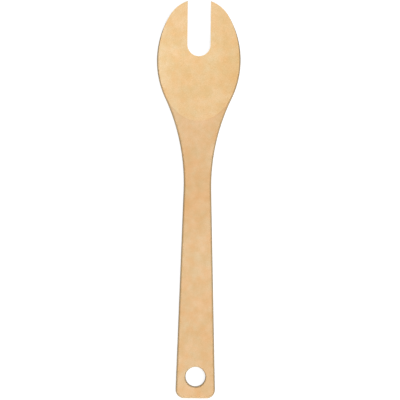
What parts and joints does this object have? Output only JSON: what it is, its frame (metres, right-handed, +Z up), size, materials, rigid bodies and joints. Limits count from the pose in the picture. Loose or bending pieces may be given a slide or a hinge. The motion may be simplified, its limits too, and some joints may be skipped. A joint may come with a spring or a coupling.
{
  "type": "pasta server",
  "caption": "Flat kitchen server of pressed wood-fibre board, with a tapered handle, a hanging hole, and a scooped head whose long slot leaves tines for lifting pasta.",
  "frame": {"origin": "middle of the back face's bounding rectangle, on the surface that the server lies on", "axes": "+Z up out of the front face, +Y from the handle's end to the tine tips, +X to the right seen from the front"},
  "size_m": [0.0632, 0.3, 0.006],
  "materials": {
    "face_sheet": "satin, faintly mottled, pressed wood fibre",
    "core_ply": "matt, routed and sanded wood fibre"
  },
  "bodies": {
    "root": {"back_face_sheet": "face_sheet", "core_ply_01": "core_ply", "core_ply_02": "core_ply", "core_ply_03": "core_ply", "core_ply_04": "core_ply", "core_ply_05": "core_ply", "core_ply_06": "core_ply", "core_ply_07": "core_ply", "core_ply_08": "core_ply", "core_ply_09": "core_ply", "core_ply_10": "core_ply", "front_face_sheet": "face_sheet"}
  },
  "joints": []
}
